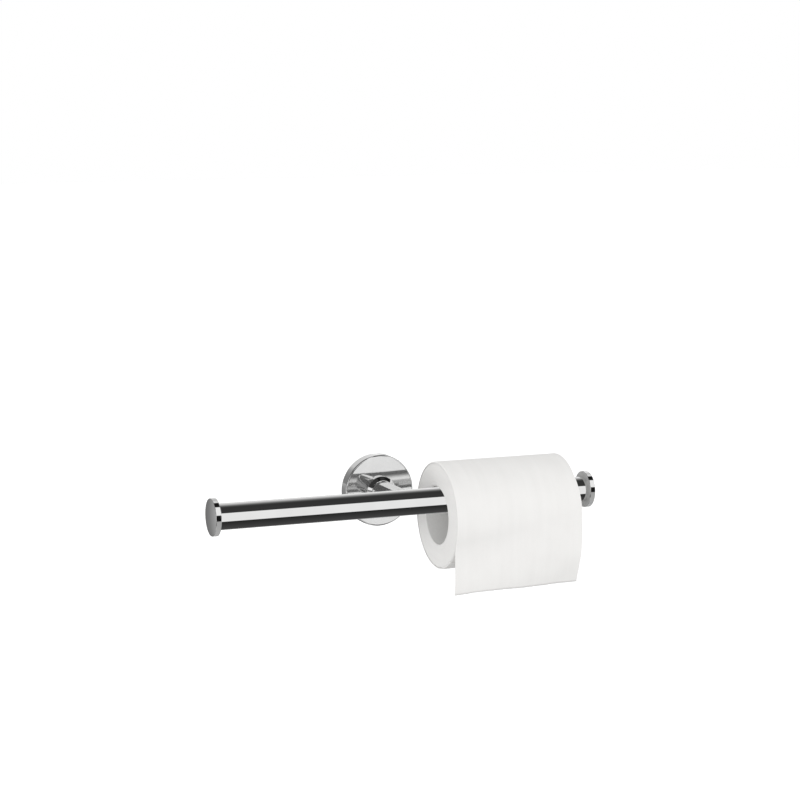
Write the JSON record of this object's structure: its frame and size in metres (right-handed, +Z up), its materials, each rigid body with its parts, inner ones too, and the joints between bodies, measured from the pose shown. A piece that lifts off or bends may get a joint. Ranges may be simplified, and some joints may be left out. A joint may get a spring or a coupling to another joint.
{
  "type": "toilet paper holder",
  "caption": "Wall-mounted toilet paper holder: a chromed bar on a central post, with disc end caps, a round wall rosette, and a paper roll with its loose end hanging down.",
  "frame": {"origin": "on the wall plane, at the centre of the bracket's back face, on the axis of the post", "axes": "+X along the bar to the right as seen from the room, +Y into the wall, +Z up"},
  "size_m": [0.312, 0.1058, 0.0974],
  "materials": {
    "chrome": "mirror polished",
    "zinc": "matt zinc casting",
    "brass": "turned",
    "screw_steel": "satin stainless",
    "seal_rubber": "matt",
    "core_board": "matt grey-white board",
    "tissue": "soft, finely embossed"
  },
  "bodies": {
    "holder": {"wall_bracket": "zinc", "rosette": "chrome", "collar_ring": "chrome", "rosette_nut": "brass", "post": "chrome", "grub_screw": "screw_steel", "post_bolt": "screw_steel", "lock_washer": "screw_steel", "bar_tube": "chrome", "bar_insert": "brass", "end_plug_left": "brass", "end_plug_right": "brass", "cap_studs": "screw_steel", "cap_seal_left": "seal_rubber", "cap_seal_right": "seal_rubber", "end_cap_left": "chrome", "end_cap_right": "chrome"},
    "sheet": {"hanging_sheet": "tissue"},
    "roll": {"roll_core": "core_board", "paper_roll": "tissue"}
  },
  "joints": [
    {"name": "roll_slide", "type": "slide", "parent": "holder", "child": "sheet", "axis": [1, 0, 0], "range_m": [-0.0167, 0.0215]},
    {"name": "roll_turn", "type": "hinge", "parent": "sheet", "child": "roll", "pos_m": [0.0775, -0.064, -0.0119], "axis": [1, 0, 0], "continuous": true}
  ]
}
